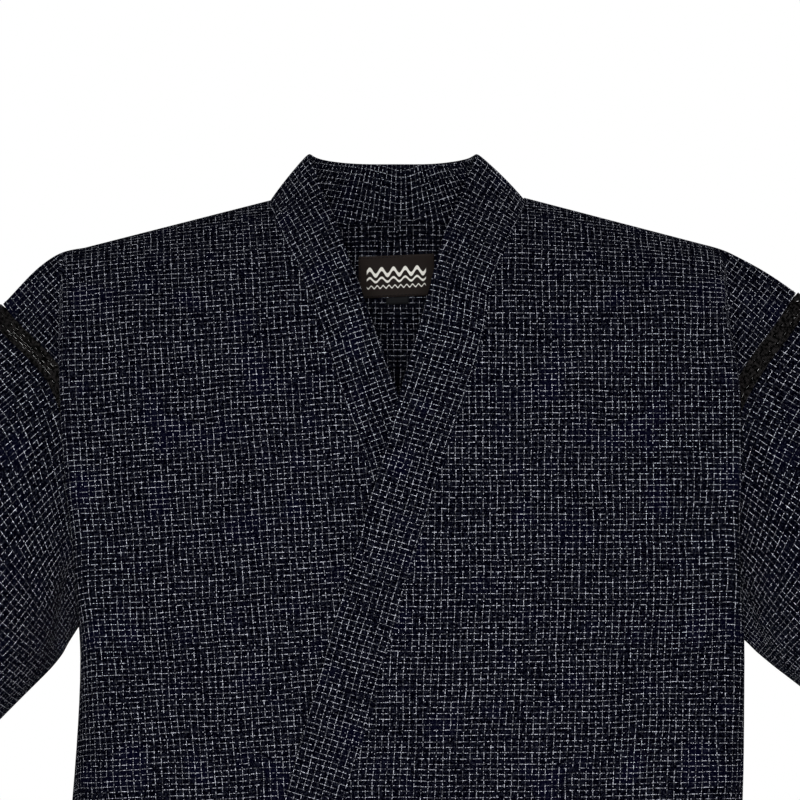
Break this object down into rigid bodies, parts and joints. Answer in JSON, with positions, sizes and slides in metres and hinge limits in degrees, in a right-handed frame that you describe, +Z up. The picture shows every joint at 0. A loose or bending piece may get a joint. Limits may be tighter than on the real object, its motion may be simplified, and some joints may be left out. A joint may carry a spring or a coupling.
{
  "type": "jinbei, a men's wrap jacket with short sleeves and its shorts, worn",
  "caption": "Men's summer jinbei in dark checked cotton: a hollow worn wrap jacket with lace-joined sleeves, banded collar and side bow, over matching wide shorts.",
  "frame": {"origin": "on the ridge of the shoulders, on the centre plane, at the height where the shoulder line meets the collar", "axes": "+Z up, -Y out of the wearer's chest, +X to the wearer's left"},
  "size_m": [1.0548, 0.2503, 1.0512],
  "materials": {
    "checked_cotton": "matte",
    "black_lace": "matte",
    "woven_label": "satin",
    "size_tab_satin": "satin"
  },
  "bodies": {
    "root": {"body_left": "checked_cotton", "body_right": "checked_cotton", "sleeve_left": "checked_cotton", "sleeve_right": "checked_cotton", "collar": "checked_cotton", "lace_left": "black_lace", "lace_right": "black_lace", "label": "woven_label", "size_tab": "size_tab_satin", "tie_strap_front": "checked_cotton", "tie_strap_side": "checked_cotton", "tie_loop_front": "checked_cotton", "tie_loop_side": "checked_cotton", "tie_end_front": "checked_cotton", "tie_end_side": "checked_cotton", "tie_knot": "checked_cotton", "shorts_leg_left": "checked_cotton", "shorts_leg_right": "checked_cotton", "shorts_waistband": "checked_cotton"}
  },
  "joints": []
}
